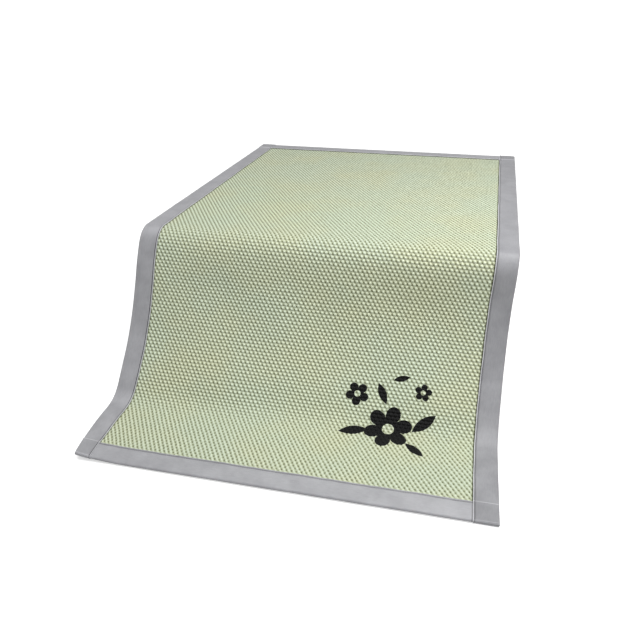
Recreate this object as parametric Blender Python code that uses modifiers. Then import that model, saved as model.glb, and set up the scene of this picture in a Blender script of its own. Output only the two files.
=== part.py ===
"""A bound sleeping mat that lies on a plain mattress, falls over its front edge and runs out on the floor.

All sizes are in metres. The mat is worked out flat, as a place across it and a place along it from its
back edge, and is then carried to the curved surface in which it lies. +Z is up and the front is at -Y.
The origin is at the middle of the object's floor area.
"""
import bmesh
import bpy
import numpy as np

COLLECTION = "sleeping_mat_on_mattress"

# Flat sizes of the mat
MAT_WIDTH = 0.600
MAT_LENGTH = 1.010
LYING_LENGTH = 0.594
PANEL_THICKNESS = 0.0030
TAPE_THICKNESS = 0.0008
SIDE_TAPE_WIDTH = 0.0330
END_TAPE_WIDTH = 0.0320
CLEARANCE = 0.0003

# The way the mat falls: slope below level, in degrees, at distances along the mat from its bend line.
# The bend line crosses the middle of the mat at LYING_LENGTH and runs BEND_SKEW nearer the back edge at
# the right and as much farther from it at the left.
FALL_COLUMNS = ("distance", "left_slope", "right_slope")
FALL = (
    (-0.018, 0.0, 0.0),
    (-0.004, 28.0, 38.5),
    (0.008, 46.0, 56.0),
    (0.020, 60.5, 73.5),
    (0.036, 62.0, 80.0),
    (0.060, 65.0, 79.5),
    (0.090, 62.5, 69.5),
    (0.145, 57.0, 53.5),
    (0.200, 46.5, 44.5),
    (0.250, 46.5, 43.5),
    (0.290, 0.0, 0.0),
)
BEND_SKEW = 0.0088
SLOPE_BLEND = 0.016
SLOPE_SAMPLES = 9
DROP = 0.235

# The front left corner curls up and draws in a little
CURL_ACROSS = 0.100
CURL_ALONG = 0.130
CURL_LIFT = 0.008
CURL_PULL = 0.0175

# The mattress under the lying length of the mat
MATTRESS_SIDE_INSET = 0.010
MATTRESS_BACK_INSET = 0.040
MATTRESS_FRONT_INSET = 0.020
MATTRESS_EDGE_RADIUS = 0.024
MATTRESS_EDGE_STEPS = 5

# Fineness of the surface the mat is laid on, and of the pieces themselves
SURFACE_STEP_ACROSS = 0.010
SURFACE_STEP_ALONG = 0.001
PANEL_COLUMNS = 14
CURL_COLUMNS = 6
LYING_ROWS = 4
BEND_LENGTH = 0.078
BEND_ROWS = 19
FALLING_ROWS = 22
FLOOR_ROWS = 8
TAPE_STEP_LENGTH = 0.004
TAPE_FLAT_STEPS = 3
FOLD_STEPS = 3
STATION_DECIMALS = 6

# Colour and roughness of each cloth
WEAVE_COLOUR = (0.55, 0.62, 0.40)
WEAVE_ROUGHNESS = 0.8
TAPE_COLOUR = (0.40, 0.40, 0.42)
TAPE_ROUGHNESS = 0.5
COVER_COLOUR = (0.75, 0.73, 0.70)
COVER_ROUGHNESS = 0.9

# Heights of each layer's middle from the middle of the mat
HALF_PANEL = PANEL_THICKNESS / 2
TAPE_HEIGHT = HALF_PANEL + CLEARANCE + TAPE_THICKNESS / 2
OVERLAP_HEIGHT = TAPE_HEIGHT + TAPE_THICKNESS + CLEARANCE
HALF_EDGE = TAPE_HEIGHT + TAPE_THICKNESS / 2
HALF_CORNER = OVERLAP_HEIGHT + TAPE_THICKNESS / 2


def slopes_along(distances, column):
    """Slope in radians at each distance from the bend line, blended over SLOPE_BLEND."""
    stations = [row[0] for row in FALL]
    degrees = [row[FALL_COLUMNS.index(column)] for row in FALL]
    offsets = np.linspace(-0.5, 0.5, SLOPE_SAMPLES) * SLOPE_BLEND
    samples = [np.interp(distances + offset, stations, degrees) for offset in offsets]
    return np.radians(np.mean(samples, axis=0))


def running_sum(values, steps):
    """Trapezoid sum along the last axis, starting at zero."""
    middles = (values[..., 1:] + values[..., :-1]) / 2 * steps
    start = np.zeros(values.shape[:-1] + (1,))
    return np.concatenate([start, np.cumsum(middles, axis=-1)], axis=-1)


class LaidMat:
    """The middle surface of the mat as it lies, read at any place across and along it."""

    def __init__(self):
        columns = round(MAT_WIDTH / SURFACE_STEP_ACROSS) + 1
        rows = round(MAT_LENGTH / SURFACE_STEP_ALONG) + 1
        self.across = np.linspace(0.0, MAT_WIDTH, columns)
        self.along = np.linspace(0.0, MAT_LENGTH, rows)
        step_across = self.across[1] - self.across[0]
        step_along = self.along[1] - self.along[0]

        share = (self.across / MAT_WIDTH)[:, None]
        distances = self.along - LYING_LENGTH + BEND_SKEW * (2 * share - 1)
        left = slopes_along(distances, "left_slope")
        right = slopes_along(distances, "right_slope")
        slope = (1 - share) * left + share * right

        y = LYING_LENGTH - running_sum(np.cos(slope), step_along)
        fall = running_sum(np.sin(slope), step_along)
        z = DROP - fall * (DROP / fall[:, -1:])

        # Lines across the mat keep their length, and the mat turns in its own plane without shearing
        y_across = np.gradient(y, step_across, axis=0)
        z_across = np.gradient(z, step_across, axis=0)
        x_across = np.sqrt(1 - y_across ** 2 - z_across ** 2)
        x_along = (y_across * np.cos(slope) + z_across * np.sin(slope)) / x_across
        middle = columns // 2
        spread = running_sum(x_across.T, step_across).T
        x = spread - spread[middle] + running_sum(x_along[middle], step_along)

        near_side = np.clip(1 - self.across / CURL_ACROSS, 0, 1)[:, None]
        near_end = np.clip(1 - (MAT_LENGTH - self.along) / CURL_ALONG, 0, 1)[None, :]
        curl = (near_side * near_end) ** 2
        self.points = np.stack([x + CURL_PULL * curl, y, z + CURL_LIFT * curl], axis=-1)

        down = np.gradient(self.points, step_along, axis=1)
        over = np.gradient(self.points, step_across, axis=0)
        normals = np.cross(down, over)
        self.normals = normals / np.linalg.norm(normals, axis=-1, keepdims=True)

    def read(self, grid, u, v):
        """Bilinear value of a grid at a place on the mat."""
        i = u / MAT_WIDTH * (len(self.across) - 1)
        j = v / MAT_LENGTH * (len(self.along) - 1)
        i0 = int(min(max(i, 0), len(self.across) - 2))
        j0 = int(min(max(j, 0), len(self.along) - 2))
        a = i - i0
        b = j - j0
        near = grid[i0, j0] * (1 - a) + grid[i0 + 1, j0] * a
        far = grid[i0, j0 + 1] * (1 - a) + grid[i0 + 1, j0 + 1] * a
        return near * (1 - b) + far * b

    def place(self, u, v, height):
        """Point at a height above the middle of the mat."""
        normal = self.read(self.normals, u, v)
        normal = normal / np.linalg.norm(normal)
        return self.read(self.points, u, v) + normal * height


def tape_columns(width):
    """Distances in from the edge at which the flat part of a tape has its points."""
    fold_centre = TAPE_THICKNESS / 2 + TAPE_HEIGHT
    return list(np.linspace(width, fold_centre, TAPE_FLAT_STEPS + 1)[:-1])


def within(places, start, end):
    """The places between start and end, with both ends, in order."""
    inner = [place for place in places if start + CLEARANCE < place < end - CLEARANCE]
    return np.unique(np.round([start] + inner + [end], STATION_DECIMALS))


def stations_across(inset):
    """Places across the mat that the panel and the end tapes share, so that their faces run parallel."""
    tapes = tape_columns(SIDE_TAPE_WIDTH)
    curled = np.linspace(SIDE_TAPE_WIDTH, CURL_ACROSS, CURL_COLUMNS + 1)
    level = np.linspace(CURL_ACROSS, MAT_WIDTH - SIDE_TAPE_WIDTH, PANEL_COLUMNS + 1)
    places = tapes + list(curled) + list(level) + [MAT_WIDTH - place for place in tapes]
    return within(places, inset, MAT_WIDTH - inset)


def stations_along(inset, extra=()):
    """Places along the mat that the panel and the side tapes share: close together round the bend."""
    tapes = tape_columns(END_TAPE_WIDTH)
    bend_start = LYING_LENGTH + FALL[0][0] - SLOPE_BLEND / 2 - BEND_SKEW
    bend_end = bend_start + BEND_LENGTH
    floor_start = LYING_LENGTH + FALL[-1][0] + SLOPE_BLEND / 2 + BEND_SKEW
    places = tapes + [MAT_LENGTH - place for place in tapes] + list(extra)
    places += list(np.linspace(END_TAPE_WIDTH, bend_start, LYING_ROWS + 1))
    places += list(np.linspace(bend_start, bend_end, BEND_ROWS + 1))
    places += list(np.linspace(bend_end, floor_start, FALLING_ROWS + 1))
    places += list(np.linspace(floor_start, MAT_LENGTH - END_TAPE_WIDTH, FLOOR_ROWS + 1))
    return within(places, inset, MAT_LENGTH - inset)


def new_object(name, mesh, colour, roughness, collection):
    """An object with its own material."""
    material = bpy.data.materials.new(name)
    material.use_nodes = True
    shader = material.node_tree.nodes["Principled BSDF"]
    shader.inputs["Base Color"].default_value = (*colour, 1.0)
    shader.inputs["Roughness"].default_value = roughness
    mesh.materials.append(material)
    piece = bpy.data.objects.new(name, mesh)
    collection.objects.link(piece)
    return piece


def sheet_mesh(name, place, columns, rows):
    """A grid of faces whose point at each column and row is given by place."""
    shape = bmesh.new()
    last_column = len(columns) - 1
    last_row = len(rows) - 1
    bmesh.ops.create_grid(shape, x_segments=last_column, y_segments=last_row, size=0.5)
    for vertex in shape.verts:
        column = columns[round((vertex.co.x + 0.5) * last_column)]
        row = rows[round((vertex.co.y + 0.5) * last_row)]
        vertex.co = place(column, row)
    mesh = bpy.data.meshes.new(name)
    shape.to_mesh(mesh)
    shape.free()
    mesh.shade_smooth()
    return mesh


def thicken(piece, thickness):
    """Give an open sheet its thickness, half to each side."""
    solid = piece.modifiers.new("thickness", "SOLIDIFY")
    solid.thickness = thickness
    solid.offset = 0.0
    solid.use_even_offset = True


def tape_section(width, height):
    """Middle line of a tape folded over an edge: pairs of distance in from the edge and height."""
    reach = TAPE_THICKNESS / 2
    centre = reach + height
    angles = np.linspace(np.pi / 2, 3 * np.pi / 2, 2 * FOLD_STEPS + 1)
    fold = [(centre + height * np.cos(angle), height * np.sin(angle)) for angle in angles]
    flat = tape_columns(width)
    upper = [(inward, height) for inward in flat]
    lower = [(inward, -height) for inward in reversed(flat)]
    return upper + fold + lower


def side_tape_height(v):
    """The side tape rises over the end tapes at both ends of the mat."""
    from_end = min(v, MAT_LENGTH - v)
    start = END_TAPE_WIDTH + CLEARANCE + TAPE_STEP_LENGTH
    rise = min(max((start - from_end) / TAPE_STEP_LENGTH, 0.0), 1.0)
    return TAPE_HEIGHT + (OVERLAP_HEIGHT - TAPE_HEIGHT) * rise


def make_panel(mat, collection):
    """The woven panel, whose raw edges lie inside the folded tapes."""
    inset = TAPE_THICKNESS / 2 + TAPE_HEIGHT
    columns = stations_across(inset)
    rows = stations_along(inset)
    mesh = sheet_mesh("mat_panel", lambda u, v: mat.place(u, v, 0.0), columns, rows)
    panel = new_object("mat_panel", mesh, WEAVE_COLOUR, WEAVE_ROUGHNESS, collection)
    thicken(panel, PANEL_THICKNESS)


def make_side_tape(mat, side, collection):
    """A tape over a long edge, from end to end of the mat and over the end tapes."""
    steps = [END_TAPE_WIDTH + CLEARANCE, END_TAPE_WIDTH + CLEARANCE + TAPE_STEP_LENGTH]
    steps = steps + [MAT_LENGTH - step for step in steps]
    rows = stations_along(0.0, steps)
    columns = range(len(tape_section(SIDE_TAPE_WIDTH, TAPE_HEIGHT)))

    def place(column, v):
        inward, height = tape_section(SIDE_TAPE_WIDTH, side_tape_height(v))[column]
        u = inward if side == "left" else MAT_WIDTH - inward
        return mat.place(u, v, height)

    name = "side_binding_" + side
    mesh = sheet_mesh(name, place, columns, rows)
    tape = new_object(name, mesh, TAPE_COLOUR, TAPE_ROUGHNESS, collection)
    thicken(tape, TAPE_THICKNESS)


def make_end_tape(mat, end, collection):
    """A tape over a short edge, whose ends lie inside the side tapes."""
    inset = TAPE_THICKNESS / 2 + OVERLAP_HEIGHT
    columns = range(len(tape_section(END_TAPE_WIDTH, TAPE_HEIGHT)))
    rows = stations_across(inset)

    def place(column, u):
        inward, height = tape_section(END_TAPE_WIDTH, TAPE_HEIGHT)[column]
        v = inward if end == "back" else MAT_LENGTH - inward
        return mat.place(u, v, height)

    name = end + "_binding"
    mesh = sheet_mesh(name, place, columns, rows)
    tape = new_object(name, mesh, TAPE_COLOUR, TAPE_ROUGHNESS, collection)
    thicken(tape, TAPE_THICKNESS)


def make_mattress(collection):
    """A plain rounded block just under the tapes, a little narrower than the mat."""
    width = MAT_WIDTH - 2 * MATTRESS_SIDE_INSET
    depth = LYING_LENGTH - MATTRESS_BACK_INSET - MATTRESS_FRONT_INSET
    bottom = -HALF_CORNER
    height = DROP - HALF_EDGE - CLEARANCE - bottom
    shape = bmesh.new()
    bmesh.ops.create_cube(shape, size=1.0)
    bmesh.ops.scale(shape, vec=(width, depth, height), verts=shape.verts)
    middle = (0.0, MATTRESS_FRONT_INSET + depth / 2, bottom + height / 2)
    bmesh.ops.translate(shape, vec=middle, verts=shape.verts)
    mesh = bpy.data.meshes.new("mattress")
    shape.to_mesh(mesh)
    shape.free()
    mattress = new_object("mattress", mesh, COVER_COLOUR, COVER_ROUGHNESS, collection)
    bevel = mattress.modifiers.new("rounded_edges", "BEVEL")
    bevel.width = MATTRESS_EDGE_RADIUS
    bevel.segments = MATTRESS_EDGE_STEPS


def stand_on_origin(collection):
    """Move everything so that the origin is at the middle of the floor area."""
    depsgraph = bpy.context.evaluated_depsgraph_get()
    corners = []
    for piece in collection.objects:
        shown = piece.evaluated_get(depsgraph)
        corners += [vertex.co.copy() for vertex in shown.data.vertices]
    points = np.array(corners)
    low = points.min(axis=0)
    high = points.max(axis=0)
    for piece in collection.objects:
        piece.location = (-(low[0] + high[0]) / 2, -(low[1] + high[1]) / 2, -low[2])


def main():
    for thing in list(bpy.data.objects):
        bpy.data.objects.remove(thing, do_unlink=True)
    collection = bpy.data.collections.new(COLLECTION)
    bpy.context.scene.collection.children.link(collection)
    mat = LaidMat()
    make_panel(mat, collection)
    for side in ("left", "right"):
        make_side_tape(mat, side, collection)
    for end in ("back", "front"):
        make_end_tape(mat, end, collection)
    make_mattress(collection)
    stand_on_origin(collection)
    bpy.context.view_layer.update()


main()
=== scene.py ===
"""Looks of a bound sleeping mat that lies on a plain mattress and falls over its front edge.

The mat is worked out flat first, as a place across it and a place along it from its back edge, and is
then carried to the curved surface in which it lies. All sizes are in metres.
"""

import math

import bmesh
import bpy
import numpy as np
from mathutils import Matrix, Vector


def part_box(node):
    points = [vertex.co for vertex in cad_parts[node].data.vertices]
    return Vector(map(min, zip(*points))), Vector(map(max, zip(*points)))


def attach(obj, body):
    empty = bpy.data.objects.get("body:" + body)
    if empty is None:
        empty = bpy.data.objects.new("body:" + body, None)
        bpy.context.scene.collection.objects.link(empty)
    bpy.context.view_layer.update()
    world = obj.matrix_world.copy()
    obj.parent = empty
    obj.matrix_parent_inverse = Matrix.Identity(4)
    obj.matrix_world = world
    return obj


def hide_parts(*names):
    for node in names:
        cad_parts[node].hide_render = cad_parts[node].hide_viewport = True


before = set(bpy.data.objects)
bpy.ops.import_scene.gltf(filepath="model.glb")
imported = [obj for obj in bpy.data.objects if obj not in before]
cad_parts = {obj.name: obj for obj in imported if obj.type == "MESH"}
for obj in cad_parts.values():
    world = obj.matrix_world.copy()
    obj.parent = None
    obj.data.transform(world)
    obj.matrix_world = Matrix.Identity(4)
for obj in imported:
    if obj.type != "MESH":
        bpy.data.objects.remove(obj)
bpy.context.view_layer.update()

# Flat sizes of the mat
MAT_WIDTH = 0.600
MAT_LENGTH = 1.010
LYING_LENGTH = 0.594
PANEL_THICKNESS = 0.0030
TAPE_THICKNESS = 0.0006
SIDE_TAPE_WIDTH = 0.0330
END_TAPE_WIDTH = 0.0320
CLEARANCE = 0.0003

# The way the mat falls: slope below level, in degrees, at distances along the mat from its bend line.
# The bend line crosses the middle of the mat at LYING_LENGTH and runs BEND_SKEW nearer the back edge at
# the right and as much farther from it at the left.
FALL_COLUMNS = ("distance", "left_slope", "right_slope")
FALL = (
    (-0.018, 0.0, 0.0),
    (-0.004, 28.0, 38.5),
    (0.008, 46.0, 56.0),
    (0.020, 60.5, 73.5),
    (0.036, 62.0, 80.0),
    (0.060, 65.0, 79.5),
    (0.090, 62.5, 69.5),
    (0.145, 57.0, 53.5),
    (0.200, 46.5, 44.5),
    (0.250, 46.5, 43.5),
    (0.290, 0.0, 0.0),
)
BEND_SKEW = 0.0088
SLOPE_BLEND = 0.016
SLOPE_SAMPLES = 9
DROP = 0.235
CURL_ACROSS = 0.100
CURL_ALONG = 0.130
CURL_LIFT = 0.008
CURL_PULL = 0.0175

# Heights of each layer from the middle of the mat
HALF_PANEL = PANEL_THICKNESS / 2
TAPE_HEIGHT = HALF_PANEL + CLEARANCE + TAPE_THICKNESS / 2
OVERLAP_HEIGHT = TAPE_HEIGHT + TAPE_THICKNESS + CLEARANCE

# The weave: puffed grains in rows, every second row half a step aside
GRAIN_STEP = 0.0070
ROW_STEP = 0.0054
RIDGE_SHARE = 0.66
PUFF_RISE = 0.00040
PIT_DEPTH = 0.00110
EDGE_DIP = 0.0007
PIT_POWER = 1.5
GRAIN_WANDER = 0.0016
WANDER_SCALE = 120.0
ROW_RELIEF = 0.60

# What lies on the floor is pressed flat at this height
FLOOR_GAP = 0.0001

# Where the mat's own axes start in the frame. The mattress ends a little behind the bend line.
MATTRESS_FRONT_INSET = 0.020
MATTRESS_LOW, MATTRESS_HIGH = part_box("mattress")
CENTRE_X = (MATTRESS_LOW.x + MATTRESS_HIGH.x) / 2
BEND_Y = MATTRESS_LOW.y - MATTRESS_FRONT_INSET
LEVEL_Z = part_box("mat_panel")[1].z - HALF_PANEL


def linear(red, green, blue):
    """A colour on the usual 0 to 255 scale, as the linear values that shaders take."""
    shares = [value / 255 for value in (red, green, blue)]
    return tuple(s / 12.92 if s < 0.04045 else ((s + 0.055) / 1.055) ** 2.4 for s in shares) + (1.0,)


# From the pits between the grains to the tops of the puffs. The pits' dark is partly the darker layer
# under the weave and partly painted shade in the hollows
GRAIN_TONES = (
    (0.02, linear(111, 115, 89)),
    (0.32, linear(162, 168, 141)),
    (0.66, linear(198, 205, 181)),
    (0.94, linear(218, 227, 207)),
)


def smooth_step(values, low, high):
    """0 below low, 1 above high, and a soft rise between."""
    share = np.clip((values - low) / (high - low), 0, 1)
    return share * share * (3 - 2 * share)


def running_sum(values, steps):
    """Trapezoid sum along the last axis, starting at zero."""
    middles = (values[..., 1:] + values[..., :-1]) / 2 * steps
    start = np.zeros(values.shape[:-1] + (1,))
    return np.concatenate([start, np.cumsum(middles, axis=-1)], axis=-1)


def slopes_along(distances, column):
    """Slope in radians at each distance from the bend line, blended over SLOPE_BLEND."""
    stations = [row[0] for row in FALL]
    degrees = [row[FALL_COLUMNS.index(column)] for row in FALL]
    offsets = np.linspace(-0.5, 0.5, SLOPE_SAMPLES) * SLOPE_BLEND
    samples = [np.interp(distances + offset, stations, degrees) for offset in offsets]
    return np.radians(np.mean(samples, axis=0))


class LaidMat:
    """The middle surface of the mat as it lies, read at any places across and along it."""

    STEP_ACROSS = 0.005
    STEP_ALONG = 0.001
    SWELL = 0.0009
    # Size, radians a metre across and along, and phase of each wave
    SWELL_WAVES = ((1.0, 21, 17, 0.6), (0.7, 37, -29, 2.1))
    # Distances past the bend line between which the swells set in and die out
    SWELL_RISE = (0.03, 0.09)
    SWELL_END = (0.22, 0.29)

    def __init__(self):
        columns = round(MAT_WIDTH / self.STEP_ACROSS) + 1
        rows = round(MAT_LENGTH / self.STEP_ALONG) + 1
        self.across = np.linspace(0.0, MAT_WIDTH, columns)
        self.along = np.linspace(0.0, MAT_LENGTH, rows)

        share = (self.across / MAT_WIDTH)[:, None]
        distances = self.along - LYING_LENGTH + BEND_SKEW * (2 * share - 1)
        left = slopes_along(distances, "left_slope")
        right = slopes_along(distances, "right_slope")
        slope = (1 - share) * left + share * right
        y = LYING_LENGTH - running_sum(np.cos(slope), self.STEP_ALONG)
        fall = running_sum(np.sin(slope), self.STEP_ALONG)
        z = -fall * (DROP / fall[:, -1:])

        # Lines across the mat keep their length, and the mat turns in its own plane without shearing
        y_across = np.gradient(y, self.STEP_ACROSS, axis=0)
        z_across = np.gradient(z, self.STEP_ACROSS, axis=0)
        x_across = np.sqrt(1 - y_across ** 2 - z_across ** 2)
        x_along = (y_across * np.cos(slope) + z_across * np.sin(slope)) / x_across
        middle = columns // 2
        spread = running_sum(x_across.T, self.STEP_ACROSS).T
        x = spread - spread[middle] + running_sum(x_along[middle], self.STEP_ALONG)

        near_side = np.clip(1 - self.across / CURL_ACROSS, 0, 1)[:, None]
        near_end = np.clip(1 - (MAT_LENGTH - self.along) / CURL_ALONG, 0, 1)[None, :]
        curl = (near_side * near_end) ** 2
        points = np.stack([x + CURL_PULL * curl, y, z + CURL_LIFT * curl], axis=-1)
        points = points + self.normals_of(points) * self.swells()[..., None]
        self.points = points + np.array([CENTRE_X, BEND_Y, LEVEL_Z])
        self.normals = self.normals_of(points)

    def normals_of(self, points):
        down = np.gradient(points, self.STEP_ALONG, axis=1)
        over = np.gradient(points, self.STEP_ACROSS, axis=0)
        normals = np.cross(down, over)
        return normals / np.linalg.norm(normals, axis=-1, keepdims=True)

    def swells(self):
        """Soft uneven places in the part that hangs free."""
        u = self.across[:, None]
        fallen = (self.along - LYING_LENGTH)[None, :]
        free = smooth_step(fallen, *self.SWELL_RISE) * (1 - smooth_step(fallen, *self.SWELL_END))
        waves = sum(
            size * np.sin(u * across + fallen * along + phase)
            for size, across, along, phase in self.SWELL_WAVES
        )
        return self.SWELL * free * waves

    def read(self, grid, u, v):
        """Bilinear values of a grid at places on the mat."""
        i = np.asarray(u, float) / MAT_WIDTH * (len(self.across) - 1)
        j = np.asarray(v, float) / MAT_LENGTH * (len(self.along) - 1)
        i0 = np.clip(np.floor(i), 0, len(self.across) - 2).astype(int)
        j0 = np.clip(np.floor(j), 0, len(self.along) - 2).astype(int)
        a = (i - i0)[..., None]
        b = (j - j0)[..., None]
        near = grid[i0, j0] * (1 - a) + grid[i0 + 1, j0] * a
        far = grid[i0, j0 + 1] * (1 - a) + grid[i0 + 1, j0 + 1] * a
        return near * (1 - b) + far * b

    def normal(self, u, v):
        normals = self.read(self.normals, u, v)
        return normals / np.linalg.norm(normals, axis=-1, keepdims=True)

    def place(self, u, v, height):
        """Points at heights above the middle of the mat. The floor presses what lies on it flat."""
        points = self.read(self.points, u, v) + self.normal(u, v) * np.asarray(height)[..., None]
        points[..., 2] = np.maximum(points[..., 2], FLOOR_GAP)
        return points


MAT = LaidMat()


def add_object(name, data):
    """An object with this data, linked to the scene."""
    item = bpy.data.objects.new(name, data)
    bpy.context.scene.collection.objects.link(item)
    return item


def make_piece(name, points, faces, places, material):
    """A mesh object with its places on the flat cloth, in metres, as its UV map."""
    mesh = bpy.data.meshes.new(name)
    corners = [tuple(int(i) for i in face) for face in faces]
    mesh.from_pydata([tuple(point) for point in points], [], corners)
    layer = mesh.uv_layers.new(name="cloth")
    used = np.zeros(len(mesh.loops), int)
    mesh.loops.foreach_get("vertex_index", used)
    layer.data.foreach_set("uv", np.asarray(places, np.float32)[used].ravel())
    mesh.validate()
    mesh.shade_smooth()
    mesh.materials.append(material)
    return add_object(name, mesh)


# Materials

class Nodes:
    """Short ways to add nodes to a material or a group."""

    def __init__(self, tree):
        self.tree = tree

    def add(self, kind, inputs=(), **settings):
        """A node whose inputs, given by name or number, are linked to sockets or set to values."""
        node = self.tree.nodes.new("ShaderNode" + kind)
        for name, value in settings.items():
            setattr(node, name, value)
        self.feed(node, inputs)
        return node

    def feed(self, node, inputs):
        for label, value in dict(inputs).items():
            if isinstance(value, bpy.types.NodeSocket):
                self.tree.links.new(value, node.inputs[label])
            else:
                node.inputs[label].default_value = value

    def math(self, operation, *values):
        return self.add("Math", enumerate(values), operation=operation).outputs[0]

    def plus(self, first, second):
        return self.math("ADD", first, second)

    def minus(self, first, second):
        return self.math("SUBTRACT", first, second)

    def times(self, first, second):
        return self.math("MULTIPLY", first, second)

    def times_plus(self, value, factor, added):
        return self.math("MULTIPLY_ADD", value, factor, added)

    def soft_step(self, value, low, high):
        """0 below low, 1 above high, and a soft rise between."""
        inputs = {"Value": value, "From Min": low, "From Max": high}
        return self.add("MapRange", inputs, interpolation_type="SMOOTHSTEP").outputs["Result"]

    def soft_fall(self, value, low, high):
        return self.minus(1.0, self.soft_step(value, low, high))

    def noise(self, vector, scale, detail, roughness):
        inputs = {"Vector": vector, "Scale": scale, "Detail": detail, "Roughness": roughness}
        return self.add("TexNoise", inputs).outputs["Fac"]

    def mix(self, share, first, second, blend="MIX"):
        inputs = {"Factor": share, 6: first, 7: second}
        return self.add("Mix", inputs, data_type="RGBA", blend_type=blend).outputs[2]

    def dimmed(self, colour, share):
        """A colour times one share for red, green and blue."""
        grey = self.add("CombineXYZ", {0: share, 1: share, 2: share})
        return self.mix(1.0, colour, grey.outputs[0], "MULTIPLY")

    def split(self, vector):
        node = self.add("SeparateXYZ", {0: vector})
        return node.outputs[0], node.outputs[1]

    def turned(self, vector, angle):
        inputs = {"Vector": vector, "Angle": angle}
        return self.add("VectorRotate", inputs, rotation_type="Z_AXIS").outputs[0]

    def bump(self, height, distance, strength=1.0, normal=None):
        node = self.add("Bump", {"Height": height, "Distance": distance, "Strength": strength})
        if normal is not None:
            self.feed(node, {"Normal": normal})
        return node.outputs["Normal"]


def new_material(name):
    material = bpy.data.materials.new(name)
    material.use_nodes = True
    nodes = Nodes(material.node_tree)
    shader = material.node_tree.nodes["Principled BSDF"]
    return material, nodes, shader


def new_group(name, inputs, outputs):
    """A shader node group whose inputs and outputs are given as (name, kind)."""
    tree = bpy.data.node_groups.new(name, "ShaderNodeTree")
    for direction, sockets in (("INPUT", inputs), ("OUTPUT", outputs)):
        for label, kind in sockets:
            tree.interface.new_socket(label, in_out=direction, socket_type="NodeSocket" + kind)
    start = tree.nodes.new("NodeGroupInput")
    end = tree.nodes.new("NodeGroupOutput")
    return tree, Nodes(tree), start, end


def use_group(nodes, tree, **values):
    node = nodes.add("Group")
    node.node_tree = tree
    nodes.feed(node, values)
    return node


def make_threads_group():
    """Fine crossing threads: Height rises where a thread is on top."""
    tree, nodes, start, end = new_group(
        "threads",
        [("Place", "Vector"), ("Across", "Float"), ("Along", "Float"), ("Turn", "Float")],
        [("Height", "Float")],
    )
    turned = nodes.turned(start.outputs["Place"], start.outputs["Turn"])
    waves = []
    for distance, size in zip(nodes.split(turned), ("Across", "Along")):
        turns = nodes.math("DIVIDE", nodes.times(distance, math.tau), start.outputs[size])
        waves.append(nodes.math("SINE", turns))
    height = nodes.times_plus(nodes.times(*waves), 0.5, 0.5)
    nodes.feed(end, {"Height": height})
    return tree


# The print's edges are soft over this much to each side, and the eyes of its flowers over this much
PRINT_SOFTNESS = 0.0003
EYE_SOFTNESS = 0.0005
PETAL_ROUNDNESS = 0.6


def from_centre(nodes, start):
    """A group's Place as measured from its Centre."""
    inputs = {0: start.outputs["Place"], 1: start.outputs["Centre"]}
    return nodes.add("VectorMath", inputs, operation="SUBTRACT").outputs[0]


def make_leaf_group():
    """A pointed leaf: Mask is 1 inside it."""
    tree, nodes, start, end = new_group(
        "leaf_shape",
        [("Place", "Vector"), ("Centre", "Vector"), ("Length", "Float"), ("Width", "Float"),
         ("Turn", "Float")],
        [("Mask", "Float")],
    )
    x, y = nodes.split(nodes.turned(from_centre(nodes, start), start.outputs["Turn"]))
    share = nodes.math("DIVIDE", nodes.times(x, 2.0), start.outputs["Length"])
    narrow = nodes.minus(1.0, nodes.times(share, share))
    half = nodes.times(nodes.times(narrow, 0.5), start.outputs["Width"])
    inside = nodes.minus(half, nodes.math("ABSOLUTE", y))
    nodes.feed(end, {"Mask": nodes.soft_step(inside, -PRINT_SOFTNESS, PRINT_SOFTNESS)})
    return tree


def make_flower_group():
    """A flower with round petals: Mask is 1 inside it."""
    tree, nodes, start, end = new_group(
        "flower_shape",
        [("Place", "Vector"), ("Centre", "Vector"), ("Radius", "Float"), ("Petals", "Float"),
         ("Turn", "Float")],
        [("Mask", "Float")],
    )
    moved = from_centre(nodes, start)
    x, y = nodes.split(moved)
    length = nodes.add("VectorMath", {0: moved}, operation="LENGTH")
    angle = nodes.plus(nodes.math("ARCTAN2", y, x), start.outputs["Turn"])
    half_petals = nodes.times(start.outputs["Petals"], 0.5)
    wave = nodes.math("ABSOLUTE", nodes.math("COSINE", nodes.times(angle, half_petals)))
    reach = nodes.times_plus(nodes.math("POWER", wave, PETAL_ROUNDNESS), 0.5, 0.5)
    rim = nodes.times(reach, start.outputs["Radius"])
    inside = nodes.minus(rim, length.outputs["Value"])
    nodes.feed(end, {"Mask": nodes.soft_step(inside, -PRINT_SOFTNESS, PRINT_SOFTNESS)})
    return tree


# The seam's place on a tape, as the cloth runs from its inner edge
SEAM_PLACE = 0.0033
# Distance from the mat's end at which a side tape comes down from the end tape
STEP_START = END_TAPE_WIDTH + CLEARANCE

THREADS = make_threads_group()
LEAF = make_leaf_group()
FLOWER = make_flower_group()

# The print near the front right: flowers and leaves, in metres across and along the mat
PRINT_FLOWERS = (
    # across, along, radius, petals, turn, radius of the eye
    (0.442, 0.860, 0.036, 6, 0.3, 0.0085),
    (0.389, 0.812, 0.018, 5, 0.9, 0.0045),
    (0.487, 0.798, 0.013, 5, 0.2, 0.0035),
)
PRINT_LEAVES = (
    # across, along, length, width, turn
    (0.493, 0.844, 0.044, 0.016, 0.75),
    (0.391, 0.870, 0.044, 0.016, 0.25),
    (0.427, 0.807, 0.034, 0.012, -1.10),
    (0.484, 0.894, 0.036, 0.013, -0.70),
    (0.453, 0.781, 0.026, 0.009, 0.30),
)


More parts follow.
